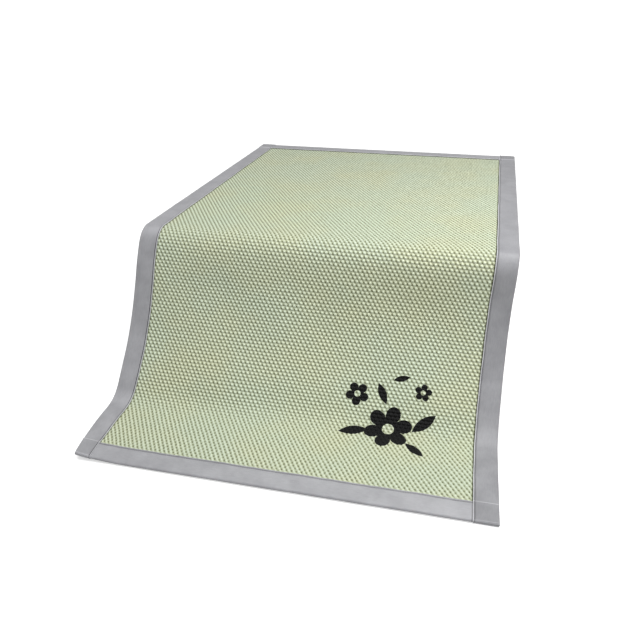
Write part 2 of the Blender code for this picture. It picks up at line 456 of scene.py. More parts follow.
def print_mask(nodes, place):
    """1 where the print covers the weave."""
    masks = []
    for across, along, radius, petals, turn, _ in PRINT_FLOWERS:
        shape = use_group(nodes, FLOWER, Place=place, Centre=(across, along, 0), Radius=radius,
                          Petals=float(petals), Turn=turn)
        masks.append(shape.outputs["Mask"])
    for across, along, length, width, turn in PRINT_LEAVES:
        shape = use_group(nodes, LEAF, Place=place, Centre=(across, along, 0), Length=length,
                          Width=width, Turn=turn)
        masks.append(shape.outputs["Mask"])
    whole = masks[0]
    for mask in masks[1:]:
        whole = nodes.math("MAXIMUM", whole, mask)
    for across, along, *_, eye in PRINT_FLOWERS:
        away = nodes.add("VectorMath", {0: place, 1: (across, along, 0)}, operation="DISTANCE")
        outside = nodes.soft_step(away.outputs["Value"], eye, eye + EYE_SOFTNESS)
        whole = nodes.math("MINIMUM", whole, outside)
    return whole


# In the looks below, a noise is (scale, detail, roughness), a rise or a fall is the (start, end) of a
# soft step in metres, tones are the start and end of one in a noise, and a spread is (factor, added).
FIBRE_NOISE = (2600.0, 3.0, 0.6)
FIBRE_SPREAD = (0.3, 0.85)
UNEVEN_NOISE = (230.0, 2.0, 0.5)
UNEVEN_SHARE = 0.45
BROAD_NOISE = (7.0, 3.0, 0.6)
BROAD_TONES = (0.35, 0.7)
# Painted shade on the weave beside the right, front and left tapes, and a painted contact shadow along
# the right one
RIGHT_SHADE_RISE = (0.0004, 0.0028)
FRONT_SHADE_RISE = (0.0002, 0.0022)
LEFT_SHADE_RISE = (-0.0010, 0.0010)
PAINTED_EDGE_SHADE_SPREAD = (0.8, 0.2)
PAINTED_CONTACT_SHADOW_RISE = (0.0004, 0.0020)
PAINTED_CONTACT_SHADOW_SPREAD = (0.62, 0.38)
INK_ROUGHNESS_SPREAD = (-0.1, 0.72)


def make_weave_material():
    """Pale green puffed grains with darker pits between them, partly painted shade, painted shade and a
    painted contact shadow beside the tapes, and the dark print.
    """
    material, nodes, shader = new_material("mat_weave")
    place = nodes.add("UVMap", uv_map="cloth").outputs["UV"]
    wander = nodes.add("TexNoise", {"Vector": place, "Scale": WANDER_SCALE}).outputs["Color"]
    inputs = {0: wander, 1: (GRAIN_WANDER, GRAIN_WANDER, 0.0), 2: place}
    shifted = nodes.add("VectorMath", inputs, operation="MULTIPLY_ADD").outputs[0]
    u, v = nodes.split(shifted)
    centre = GRAIN_WANDER / 2
    from_middle = nodes.minus(u, MAT_WIDTH / 2 + centre)
    over = nodes.times(from_middle, math.tau / GRAIN_STEP)
    down = nodes.times(nodes.minus(v, centre), math.pi / ROW_STEP)
    ridge = nodes.math("COSINE", nodes.minus(over, down))
    cross = nodes.math("COSINE", nodes.plus(over, down))
    grain = nodes.plus(nodes.times(ridge, RIDGE_SHARE), nodes.times(cross, 1 - RIDGE_SHARE))
    sunk = nodes.math("POWER", nodes.times_plus(grain, -0.5, 0.5), PIT_POWER)
    rounded = nodes.minus(1.0, sunk)
    fibres = nodes.noise(place, *FIBRE_NOISE)
    uneven = nodes.noise(place, *UNEVEN_NOISE)
    toned = nodes.times_plus(nodes.minus(uneven, 0.5), UNEVEN_SHARE, rounded)

    # Painted shade: beside the side and front tapes the weave is darker, and a painted contact shadow
    # makes a fine dark line along the right one
    across, along = nodes.split(place)
    from_left = nodes.minus(across, SIDE_TAPE_WIDTH)
    from_right = nodes.minus(MAT_WIDTH - SIDE_TAPE_WIDTH, across)
    from_front = nodes.minus(MAT_LENGTH - END_TAPE_WIDTH, along)
    clear_of_painted_shade = nodes.times(nodes.soft_step(from_right, *RIGHT_SHADE_RISE),
                        nodes.soft_step(from_front, *FRONT_SHADE_RISE))
    clear_of_painted_shade = nodes.times(clear_of_painted_shade, nodes.soft_step(from_left, *LEFT_SHADE_RISE))
    lit = nodes.times_plus(clear_of_painted_shade, *PAINTED_EDGE_SHADE_SPREAD)

    # The ramp's dark end is partly painted shade in the pits, and near the tapes the tone is pushed
    # darker as painted shade
    ramp = nodes.add("ValToRGB", {"Fac": nodes.times(toned, lit)})
    ramp.color_ramp.interpolation = "EASE"
    elements = ramp.color_ramp.elements
    for index, (position, colour) in enumerate(GRAIN_TONES):
        element = elements[index] if index < 2 else elements.new(position)
        element.position = position
        element.color = colour
    broad = nodes.soft_step(nodes.noise(place, *BROAD_NOISE), *BROAD_TONES)
    warm = nodes.mix(broad, linear(247, 250, 247), linear(252, 249, 238))
    colour = nodes.mix(1.0, ramp.outputs["Color"], warm, "MULTIPLY")
    # Painted contact shadow along the right tape, laid on the fibres' own flecks
    painted_contact_shadow = nodes.times_plus(nodes.soft_step(from_right, *PAINTED_CONTACT_SHADOW_RISE), *PAINTED_CONTACT_SHADOW_SPREAD)
    fibres_and_painted_shadow = nodes.times(nodes.times_plus(fibres, *FIBRE_SPREAD), painted_contact_shadow)
    colour = nodes.dimmed(colour, fibres_and_painted_shadow)

    ink = print_mask(nodes, place)
    colour = nodes.mix(ink, colour, linear(6, 6, 7))
    rows = nodes.math("COSINE", nodes.times(down, 2.0))
    relief = nodes.times_plus(rows, ROW_RELIEF, rounded)
    puff = nodes.bump(relief, distance=0.0010)
    nodes.feed(shader, {
        "Base Color": colour,
        "Roughness": nodes.times_plus(ink, *INK_ROUGHNESS_SPREAD),
        "Specular IOR Level": 0.2,
        "Sheen Weight": 0.03,
        "Sheen Roughness": 0.5,
        "Normal": nodes.bump(fibres, distance=0.00012, strength=0.6, normal=puff),
    })
    return material


TAPE_THREADS = {"Across": 0.00055, "Along": 0.0014, "Turn": 0.35}
THREAD_SPREAD = (0.08, 0.79)
TAPE_BROAD_NOISE = (26.0, 3.0, 0.55)
TAPE_TONES = (0.3, 0.72)
STREAK_TURN = 0.65
STREAK_SCALE = (480.0, 110.0, 1.0)
STREAK_NOISE = (1.0, 3.0, 0.6)
STREAK_SHARE = 0.30
STREAK_ROUGHNESS_SPREAD = (0.16, 0.36)
# Masks of the seam, the inner edge, the step and the tip, which carry painted shade and painted
# highlights
SEAM_FALL = (0.0006, 0.0015)
LIP_FALL = (0.0014, 0.0022)
STEP_FALL = (0.0003, 0.0014)
PAINTED_STEP_HIGHLIGHT = 0.55
TIP_FALL = (0.0006, 0.0016)
PAINTED_TIP_HIGHLIGHT = 0.45
DOUBLED_FADE = 0.002
DOUBLED_SHADE = 0.06
PAINTED_CROSSING_SHADOW_RISE = (0.0004, 0.0020)
PAINTED_CROSSING_SHADOW_SPREAD = (0.5, 0.5)


def make_tape_material(name, painted_seam_shade, painted_lip_highlight, painted_light_level, crossed_at=None):
    """Grey satin tape with a fine slanting thread, painted shade in its seam and painted highlights on
    its inner edge, step and tip.

    Where crossed_at is given, another tape lies over it from there on, and a painted shadow darkens it
    from just before that place on.
    """
    material, nodes, shader = new_material(name)
    place = nodes.add("UVMap", uv_map="cloth").outputs["UV"]
    threads = use_group(nodes, THREADS, Place=place, **TAPE_THREADS).outputs["Height"]
    broad = nodes.noise(place, *TAPE_BROAD_NOISE)
    inputs = {"Vector": place, "Rotation": (0.0, 0.0, STREAK_TURN), "Scale": STREAK_SCALE}
    streaks = nodes.add("Mapping", inputs).outputs["Vector"]
    fine = nodes.noise(streaks, *STREAK_NOISE)
    colour = nodes.mix(nodes.soft_step(broad, *TAPE_TONES), linear(154, 154, 158), linear(167, 167, 171))

    across, along = nodes.split(place)
    off_seam = nodes.math("ABSOLUTE", nodes.minus(across, SEAM_PLACE))
    from_end = nodes.math("MINIMUM", along, nodes.minus(MAT_LENGTH, along))
    off_step = nodes.math("ABSOLUTE", nodes.minus(from_end, STEP_START))
    shade = nodes.plus(nodes.times_plus(threads, *THREAD_SPREAD), nodes.times(fine, STREAK_SHARE))
    # Painted shade in the seam and painted highlights on the inner edge, the step and the closed tip;
    # the doubled end is darker
    changes = (
        (nodes.soft_fall(off_seam, *SEAM_FALL), -painted_seam_shade),
        (nodes.soft_fall(across, *LIP_FALL), painted_lip_highlight),
        (nodes.soft_fall(off_step, *STEP_FALL), PAINTED_STEP_HIGHLIGHT),
        (nodes.soft_fall(from_end, *TIP_FALL), PAINTED_TIP_HIGHLIGHT),
        (nodes.soft_fall(from_end, STEP_START - DOUBLED_FADE, STEP_START), -DOUBLED_SHADE),
    )
    for where, change in changes:
        shade = nodes.times_plus(where, change, shade)
    # Painted light level of this copy of the satin, lighter or darker as light falls on its tape
    shade = nodes.times(shade, painted_light_level)
    # Painted shadow of the side tape that lies over this one
    if crossed_at is not None:
        beside = nodes.soft_step(nodes.minus(crossed_at, along), *PAINTED_CROSSING_SHADOW_RISE)
        shade = nodes.times(shade, nodes.times_plus(beside, *PAINTED_CROSSING_SHADOW_SPREAD))

    fine_weave = nodes.bump(threads, distance=0.00006, strength=0.7)
    nodes.feed(shader, {
        "Base Color": nodes.dimmed(colour, shade),
        "Roughness": nodes.times_plus(fine, *STREAK_ROUGHNESS_SPREAD),
        "Anisotropic": 0.75,
        "Tangent": nodes.add("Tangent", direction_type="UV_MAP", uv_map="cloth").outputs[0],
        "Sheen Weight": 0.15,
        "Sheen Roughness": 0.4,
        "Normal": nodes.bump(broad, distance=0.0012, strength=0.5, normal=fine_weave),
    })
    return material


SEWING_TWIST = {"Across": 0.0004, "Along": 0.0006, "Turn": 0.6}


def make_thread_material():
    """Sewing thread in a darker grey than the tape."""
    material, nodes, shader = new_material("sewing_thread")
    place = nodes.add("UVMap", uv_map="cloth").outputs["UV"]
    twist = use_group(nodes, THREADS, Place=place, **SEWING_TWIST).outputs["Height"]
    nodes.feed(shader, {
        "Base Color": nodes.mix(twist, linear(96, 96, 101), linear(132, 132, 137)),
        "Roughness": 0.5,
        "Normal": nodes.bump(twist, distance=0.00008, strength=0.6),
    })
    return material


SLUB_NOISE = (420.0, 3.0, 0.6)
SLUB_TONES = (0.3, 0.7)
COVER_NOISE = (1500.0, 3.0, 0.6)
COVER_SPREAD = (0.24, 0.88)
COVER_ROUGHNESS_SPREAD = (0.1, 0.82)


def make_ticking_material(name, light, dark):
    """Plain woven mattress cover."""
    material, nodes, shader = new_material(name)
    place = nodes.add("TexCoord").outputs["Object"]
    slub = nodes.noise(place, *SLUB_NOISE)
    grain = nodes.noise(place, *COVER_NOISE)
    colour = nodes.mix(nodes.soft_step(slub, *SLUB_TONES), light, dark)
    woven = nodes.bump(grain, distance=0.0003, strength=0.6)
    nodes.feed(shader, {
        "Base Color": nodes.dimmed(colour, nodes.times_plus(grain, *COVER_SPREAD)),
        "Roughness": nodes.times_plus(grain, *COVER_ROUGHNESS_SPREAD),
        "Sheen Weight": 0.2,
        "Normal": nodes.bump(slub, distance=0.0008, strength=0.5, normal=woven),
    })
    return material


# The woven panel

TAPE_LAP = 0.0022
# Shares of a column by which each row in turn is moved aside
ROW_SHIFTS = (0.0, 0.25, 0.5, 0.25)
LEAD_POINTS = 4
LEAD_GAP_ACROSS = 0.002
LEAD_GAP_ALONG = 0.001
# Steps of the distance from a tape's inner edge, over which the grains rise and the dip comes and goes
GRAIN_RISE = (-0.0005, 0.0025)
DIP_START = (-0.0022, -0.0002)
DIP_END = (0.0006, 0.0030)
UNDER_STEP = 3
RIM_INSET = TAPE_THICKNESS / 2 + TAPE_HEIGHT


def inner_places(step, total, tape_width, start):
    """Places at every step between the tapes, reaching a little under them."""
    low = tape_width - TAPE_LAP
    first = math.ceil((low - start) / step)
    last = math.floor((total - low - start) / step)
    return start + step * np.arange(first, last + 1)


def panel_places():
    """Columns and rows of the panel's top: three columns a grain and two rows a grain between the tapes.

    Each row is moved aside by up to half a column, so that every pit has a point at its bottom.
    """
    column = GRAIN_STEP / 3
    row = ROW_STEP / 2
    across = inner_places(column, MAT_WIDTH, SIDE_TAPE_WIDTH, MAT_WIDTH / 2 + column / 2)
    along = inner_places(row, MAT_LENGTH, END_TAPE_WIDTH, 0.0)
    phase = np.round(along / row).astype(int) % len(ROW_SHIFTS)
    u = across[:, None] + np.choose(phase, ROW_SHIFTS)[None, :] * column
    lead_u = np.linspace(RIM_INSET, across[0] - LEAD_GAP_ACROSS, LEAD_POINTS)
    lead_v = np.linspace(RIM_INSET, along[0] - LEAD_GAP_ALONG, LEAD_POINTS)
    rows = np.concatenate([lead_v, along, MAT_LENGTH - lead_v[::-1]])
    u = np.concatenate([u[:, :1]] * LEAD_POINTS + [u] + [u[:, -1:]] * LEAD_POINTS, axis=1)
    side = np.broadcast_to(lead_u[:, None], (LEAD_POINTS, len(rows)))
    u = np.concatenate([side, u, MAT_WIDTH - side[::-1]], axis=0)
    return u, np.broadcast_to(rows, u.shape)


def grain_height(u, v):
    """Height of the puffed grains over the panel's face. They lie flat under the tapes."""
    over = (u - MAT_WIDTH / 2) * math.tau / GRAIN_STEP
    down = v * math.pi / ROW_STEP
    grain = RIDGE_SHARE * np.cos(over - down) + (1 - RIDGE_SHARE) * np.cos(over + down)
    fallen = ((1 - grain) / 2) ** PIT_POWER
    from_side = np.minimum(u, MAT_WIDTH - u) - SIDE_TAPE_WIDTH
    from_end = np.minimum(v, MAT_LENGTH - v) - END_TAPE_WIDTH
    beside = np.minimum(from_side, from_end)
    dip = EDGE_DIP * smooth_step(beside, *DIP_START) * (1 - smooth_step(beside, *DIP_END))
    return (PUFF_RISE - (PUFF_RISE + PIT_DEPTH) * fallen) * smooth_step(beside, *GRAIN_RISE) - dip


def grid_faces(columns, rows, first=0, flip=False):
    """Quads of a grid whose points are numbered row by row within each column."""
    i, j = np.meshgrid(np.arange(columns - 1), np.arange(rows - 1), indexing="ij")
    corner = first + i * rows + j
    quads = np.stack([corner, corner + 1, corner + rows + 1, corner + rows], axis=-1).reshape(-1, 4)
    return quads[:, ::-1] if flip else quads


def rim_of(columns, rows):
    """Grid places round the edge of a grid, as (column, row), in order."""
    around = [(i, 0) for i in range(columns - 1)]
    around += [(columns - 1, j) for j in range(rows - 1)]
    around += [(i, rows - 1) for i in range(columns - 1, 0, -1)]
    around += [(0, j) for j in range(rows - 1, 0, -1)]
    return around


def join_rims(fine, coarse_at, coarse):
    """Triangles between a fine rim and a coarse one whose points lie at coarse_at along the fine rim."""
    faces = []
    total = len(fine)
    for index, low in enumerate(coarse_at):
        following = (index + 1) % len(coarse_at)
        high = coarse_at[following] if following else total
        here, there = coarse[index], coarse[following]
        middle = (low + high) // 2
        for k in range(low, high):
            anchor = here if k < middle else there
            faces.append((fine[k], fine[(k + 1) % total], anchor))
            if k == middle:
                faces.append((fine[k], there, here))
    return faces


def make_panel(material):
    """The top carries every grain in its mesh. The underside is a coarser grid."""
    u, v = panel_places()
    columns, rows = u.shape
    top = MAT.place(u, v, HALF_PANEL + grain_height(u, v)).reshape(-1, 3)
    top_faces = grid_faces(columns, rows)

    every_column = sorted(set(range(0, columns, UNDER_STEP)) | {columns - 1})
    every_row = sorted(set(range(0, rows, UNDER_STEP)) | {rows - 1})
    under_u = u[np.ix_(every_column, every_row)]
    under_v = v[np.ix_(every_column, every_row)]
    under = MAT.place(under_u, under_v, np.full(under_u.shape, -HALF_PANEL)).reshape(-1, 3)
    first = len(top)
    under_faces = grid_faces(len(every_column), len(every_row), first, flip=True)

    rim = rim_of(columns, rows)
    column_at = {column: index for index, column in enumerate(every_column)}
    row_at = {row: index for index, row in enumerate(every_row)}
    coarse_at = [k for k, (i, j) in enumerate(rim) if i in column_at and j in row_at]
    fine = [i * rows + j for i, j in rim]
    coarse = [first + column_at[rim[k][0]] * len(every_row) + row_at[rim[k][1]] for k in coarse_at]
    rim_faces = join_rims(fine, coarse_at, coarse)

    points = np.concatenate([top, under])
    places = np.concatenate([
        np.stack([u, v], axis=-1).reshape(-1, 2),
        np.stack([under_u, under_v], axis=-1).reshape(-1, 2),
    ])
    faces = list(top_faces) + list(under_faces) + rim_faces
    return make_piece("woven_panel", points, faces, places, material)


# The binding

SEAM_INSET = 0.0030
SEAM_HALF_WIDTH = 0.0012
SEAM_DEPTH = 0.00050
ROW_LENGTH = 0.003
BEND_ROW_LENGTH = 0.0012
STEP_ROW_LENGTH = 0.0005

# A tape's section: the round nose of its inner edge, the seam beside it, and the face up to the fold
NOSE_POINTS = 4
NOSE_LENGTH = 0.0004
NOSE_RISE = 0.00060
NOSE_END = (0.0014, 0.0025)
SEAM_POINTS = 9
SEAM_REACH = (0.0011, 0.0050)
FACE_POINTS = 6
FACE_START = 0.0085
FACE_END = 0.0015
TAPE_CROWN = 0.00016
CROWN_MARGINS = (0.005, 0.002)
FOLD_POINTS = 15
HIDDEN_MARGIN = 0.0020


def tape_profile(width, height):
    """Closed section of the folded tape as (distance in from the mat's edge, height), and the length
    round it from the nearer inner edge."""
    half = TAPE_THICKNESS / 2
    centre = half + TAPE_HEIGHT
    fold_radius = height + half
    quarter = np.linspace(0, np.pi / 2, NOSE_POINTS)
    inward = np.concatenate([
        width - NOSE_LENGTH * (1 - np.cos(quarter)),
        np.linspace(width - SEAM_REACH[0], width - SEAM_REACH[1], SEAM_POINTS),
        np.linspace(width - FACE_START, centre + FACE_END, FACE_POINTS),
    ])
    flat = np.full(SEAM_POINTS + FACE_POINTS, half)
    raised = np.concatenate([half * (2 * np.sin(quarter) - 1), flat])
    from_edge = width - inward
    risen = slice(NOSE_POINTS - 1, None)
    raised[risen] += NOSE_RISE * (1 - smooth_step(from_edge[risen], *NOSE_END))
    seam = np.clip(1 - np.abs(from_edge - SEAM_INSET) / SEAM_HALF_WIDTH, 0, 1)
    raised -= SEAM_DEPTH * seam * seam * (3 - 2 * seam)
    crown = np.clip((from_edge - CROWN_MARGINS[0]) / (width - sum(CROWN_MARGINS)), 0, 1)
    raised += TAPE_CROWN * np.sin(np.pi * crown)
    upper = np.stack([inward, height + raised], axis=-1)

    angles = np.linspace(np.pi / 2, 3 * np.pi / 2, FOLD_POINTS)
    squash = TAPE_HEIGHT / height
    fold = np.stack([
        centre + fold_radius * squash * np.cos(angles),
        fold_radius * np.sin(angles),
    ], axis=-1)
    lower = upper[::-1] * np.array([1, -1])

    inner_radius = height - half
    inner_fold = np.stack([
        centre + inner_radius * np.cos(angles[::-2]) * min(squash, 1.0),
        inner_radius * np.sin(angles[::-2]),
    ], axis=-1)
    near, far = centre + FACE_END, width - HIDDEN_MARGIN
    inner_upper = np.array([[near, inner_radius], [far, inner_radius]])
    inner_lower = np.array([[far, -inner_radius], [near, -inner_radius]])
    section = np.concatenate([upper, fold, lower, inner_lower, inner_fold, inner_upper])
    steps = np.linalg.norm(np.diff(section, axis=0), axis=-1)
    round_it = np.concatenate([[0.0], np.cumsum(steps)])
    outside = round_it[2 * len(upper) + len(fold) - 1]
    return section, np.minimum(round_it, np.abs(outside - round_it))


def tape_rows(start, end, bends, steps):
    """Places along a tape, closer together where it bends and closest at its steps."""
    rows = [start]
    while rows[-1] < end:
        length = ROW_LENGTH
        if any(low < rows[-1] < high for low, high in bends):
            length = BEND_ROW_LENGTH
        if any(low - ROW_LENGTH < rows[-1] < high for low, high in steps):
            length = STEP_ROW_LENGTH
        rows.append(rows[-1] + length)
    rows[-1] = end
    return np.array(rows)


STEP_LENGTH = 0.0022
STEP_LIP = 0.00035
STEP_LIP_LENGTH = 0.0012
END_CLOSING = ((0.0000, 0.10), (0.0001, 0.45), (0.0004, 0.75), (0.0009, 0.94), (0.0014, 1.00))
# Where rows lie closer, from the bend line or the step, and where an end tape draws back when hidden
BEND_REACH = (-0.036, 0.045)
FOOT_REACH = (0.262, 0.310)
BEFORE_STEP = 0.001
AFTER_STEP = 0.006
HIDDEN_LENGTH = 0.004
HIDDEN_RETREAT = 0.0016
RETREAT_FADE = (-0.0035, -0.0010)
# Waves of a tape's edge and of its face: size, radians a metre, and factor of the tape's own phase
EDGE_WAVES = ((0.00022, 47, 1), (0.00014, 113, 2))
FACE_WAVES = ((0.00007, 290, 1), (0.00005, 171, 3))
FACE_HEIGHT = 0.0019
FACE_LIFT = 0.00012
FOLD_REACH = 0.006
FOLD_WANDER = 0.4


def side_tape_height(v):
    """The side tape rises over the end tapes at both ends of the mat, with a lip over their edges."""
    from_end = min(v, MAT_LENGTH - v)
    rise = float(smooth_step(np.array(STEP_START + STEP_LENGTH - from_end), 0.0, STEP_LENGTH))
    lip = STEP_LIP * math.exp(-((from_end - STEP_START + STEP_LIP_LENGTH) / STEP_LIP_LENGTH) ** 2)
    return TAPE_HEIGHT + (OVERLAP_HEIGHT - TAPE_HEIGHT) * rise + lip


def end_closing(v):
    """Share of its height that a side tape keeps close to the mat's ends, where it is sewn shut."""
    distances, shares = zip(*END_CLOSING)
    return float(np.interp(min(v, MAT_LENGTH - v), distances, shares))


def wave_sum(waves, place, phase):
    return sum(size * np.sin(place * rate + factor * phase) for size, rate, factor in waves)


def make_tape(name, material, length_rows, section_at, to_mat, phase):
    """A tape lofted through one closed section for each row.

    Its edge wanders a little, least at the fold, and its faces pucker.
    """
    points = []
    places = []
    for row in length_rows:
        section, round_it = section_at(row)
        wander = wave_sum(EDGE_WAVES, row, phase)
        lift = wave_sum(FACE_WAVES, row, phase) + FACE_LIFT
        inward, height = section.T
        fold = smooth_step(inward + wander, 0.0, FOLD_REACH)
        inward = inward + wander * (FOLD_WANDER + (1 - FOLD_WANDER) * fold)
        height = height + np.where(np.abs(height) > FACE_HEIGHT, np.sign(height) * lift, 0)
        u, v = to_mat(np.maximum(inward, 0.0), row)
        points.append(MAT.place(u, v, height))
        places.append(np.stack([round_it, np.full(len(round_it), row)], axis=-1))
    count = len(points[0])
    rows = len(length_rows)
    faces = []
    for j in range(rows - 1):
        for i in range(count):
            k = (i + 1) % count
            faces.append((j * count + i, j * count + k, (j + 1) * count + k, (j + 1) * count + i))
    faces.append(tuple(range(count - 1, -1, -1)))
    faces.append(tuple((rows - 1) * count + i for i in range(count)))
    piece = make_piece(name, np.concatenate(points), faces, np.concatenate(places), material)
    bm = bmesh.new()
    bm.from_mesh(piece.data)
    bmesh.ops.recalc_face_normals(bm, faces=bm.faces)
    caps = [face for face in bm.faces if len(face.verts) > 4]
    bmesh.ops.triangulate(bm, faces=caps)
    bm.to_mesh(piece.data)
    bm.free()
    return piece


def make_side_tape(side, material, phase):
    bends = [(LYING_LENGTH + low, LYING_LENGTH + high) for low, high in (BEND_REACH, FOOT_REACH)]
    front_step = MAT_LENGTH - STEP_START
    steps = [(STEP_START - BEFORE_STEP, STEP_START + AFTER_STEP),
             (front_step - AFTER_STEP, front_step + BEFORE_STEP)]
    closing = np.array([distance for distance, _ in END_CLOSING])
    start = closing[-1] + STEP_ROW_LENGTH
    rows = tape_rows(start, MAT_LENGTH - start, bends, steps)
    rows = np.concatenate([closing, rows, MAT_LENGTH - closing[::-1]])

    def to_mat(inward, row):
        u = inward if side == "left" else MAT_WIDTH - inward
        return u, np.full(len(inward), row)

    def section_at(row):
        section, from_near_edge = tape_profile(SIDE_TAPE_WIDTH, side_tape_height(row))
        return section * np.array([1.0, end_closing(row)]), from_near_edge

    return make_tape("tape_" + side, material, rows, section_at, to_mat, phase)


def make_end_tape(end, material, phase):
    inset = TAPE_THICKNESS / 2 + OVERLAP_HEIGHT
    right = MAT_WIDTH - SIDE_TAPE_WIDTH
    hidden_ends = [(SIDE_TAPE_WIDTH - HIDDEN_LENGTH, SIDE_TAPE_WIDTH), (right, right + HIDDEN_LENGTH)]
    rows = tape_rows(inset, MAT_WIDTH - inset, hidden_ends, [])

    def to_mat(inward, row):
        from_side = np.array(min(row, MAT_WIDTH - row) - SIDE_TAPE_WIDTH)
        inward = inward + HIDDEN_RETREAT * (1 - float(smooth_step(from_side, *RETREAT_FADE)))
        v = inward if end == "back" else MAT_LENGTH - inward
        return np.full(len(inward), row), v

    def section_at(row):
        """An end tape has the same section all along."""
        return tape_profile(END_TAPE_WIDTH, TAPE_HEIGHT)

    return make_tape("tape_" + end, material, rows, section_at, to_mat, phase)


# The stitches

STITCH_STEP = 0.0032
STITCH_LENGTH = 0.0025
STITCH_HALF_WIDTH = 0.00026
STITCH_FLATNESS = 0.8
STITCH_LIFT = 0.00012
LOOK_AHEAD = 0.0004
SIDE_SEAM_GAP = 0.003
END_SEAM_GAP = 0.002
STITCH_SIDES = 5
STITCH_RINGS = ((-0.5, 0.35), (-0.3, 1.0), (0.3, 1.0), (0.5, 0.35))


def stitch_lines():
    """Seams near the inner edges of the tapes, as (start, end, place on the mat, height of the tape)."""
    side = SIDE_TAPE_WIDTH - SEAM_INSET
    end = END_TAPE_WIDTH - SEAM_INSET
    low = SIDE_TAPE_WIDTH + END_SEAM_GAP
    lines = []
    for u in (side, MAT_WIDTH - side):
        lines.append((
            SIDE_SEAM_GAP, MAT_LENGTH - SIDE_SEAM_GAP, lambda t, u=u: (u, t), side_tape_height,
        ))
    for v in (end, MAT_LENGTH - end):
        lines.append((low, MAT_WIDTH - low, lambda t, v=v: (t, v), lambda t: TAPE_HEIGHT))
    return lines


def seam_frame(to_mat, t):
    """The middle of the mat under a seam, the mat's normal, and the way aside from the seam."""
    u, v = to_mat(t)
    base = MAT.read(MAT.points, u, v)
    normal = MAT.normal(u, v)
    ahead = MAT.read(MAT.points, *to_mat(t + LOOK_AHEAD)) - base
    return base, normal, np.cross(normal, ahead / np.linalg.norm(ahead))


def stitch_faces(first):
    """Faces of one stitch, a closed tube whose points start at first."""
    faces = []
    for ring in range(len(STITCH_RINGS) - 1):
        a = first + ring * STITCH_SIDES
        b = a + STITCH_SIDES
        for side in range(STITCH_SIDES):
            following = (side + 1) % STITCH_SIDES
            faces.append((a + side, a + following, b + following, b + side))
    last = first + (len(STITCH_RINGS) - 1) * STITCH_SIDES
    faces.append(tuple(first + side for side in range(STITCH_SIDES - 1, -1, -1)))
    faces.append(tuple(last + side for side in range(STITCH_SIDES)))
    return faces


def make_stitches(material):
    """Short threads lying in the seams, on both faces of the mat."""
    points = []
    places = []
    faces = []
    turns = np.linspace(0, math.tau, STITCH_SIDES, endpoint=False)
    sunk = TAPE_THICKNESS / 2 - SEAM_DEPTH + STITCH_LIFT
    for start, end, to_mat, height_at in stitch_lines():
        for index in range(int((end - start) / STITCH_STEP)):
            middle = start + (index + 0.5) * STITCH_STEP
            for face in (1, -1):
                faces += stitch_faces(len(points))
                for along, size in STITCH_RINGS:
                    t = middle + along * STITCH_LENGTH
                    base, normal, aside = seam_frame(to_mat, t)
                    centre = base + normal * face * (height_at(t) + sunk)
                    for turn in turns:
                        ring = aside * math.cos(turn) + normal * math.sin(turn) * STITCH_FLATNESS
                        points.append(centre + ring * STITCH_HALF_WIDTH * size)
                        places.append((turn * STITCH_HALF_WIDTH, t))
    return make_piece("seam_stitches", points, faces, places, material)


# The mattress

EDGE_RADIUS = 0.024
EDGE_STEPS = 7
SIDE_BULGE = 0.0022
PIPING_RADIUS = 0.0036
CORNER_STEPS = 9
LONG_EDGE = 0.1
SIDE_CUTS = 14
SIDE_SHARE = 0.9


def bulge_share(place):
    """1 at the middle of a side and 0 at both its ends, which lie at -0.5 and 0.5."""
    return math.cos(math.pi * min(max(place, -0.5), 0.5))


def make_mattress(material):
    """A foam block with soft edges whose sides stand out slightly between its pipings."""
    size = MATTRESS_HIGH - MATTRESS_LOW
    centre = (MATTRESS_HIGH + MATTRESS_LOW) / 2
    shape = bmesh.new()
    bmesh.ops.create_cube(shape, size=1.0)
    bmesh.ops.scale(shape, vec=size, verts=shape.verts)
    bmesh.ops.bevel(shape, geom=shape.edges[:], offset=EDGE_RADIUS, segments=EDGE_STEPS,
                    profile=0.5, affect="EDGES")
    long_edges = [edge for edge in shape.edges if edge.calc_length() > LONG_EDGE]
    bmesh.ops.subdivide_edges(shape, edges=long_edges, cuts=SIDE_CUTS, use_grid_fill=True)
    for vertex in shape.verts:
        x, y, z = vertex.co
        upright = bulge_share(z / size.z) ** 2
        for axis, half in ((0, size.x / 2), (1, size.y / 2)):
            share = vertex.co[axis] / half
            if abs(share) > SIDE_SHARE:
                along = (y / size.y) if axis == 0 else (x / size.x)
                spread = bulge_share(along) ** 0.5
                vertex.co[axis] += math.copysign(SIDE_BULGE * upright * spread, share)
    bmesh.ops.translate(shape, vec=centre, verts=shape.verts)
    mesh = bpy.data.meshes.new("mattress_block")
    shape.to_mesh(mesh)
    shape.free()
    mesh.shade_smooth()
    mesh.materials.append(material)
    return add_object("mattress_block", mesh)


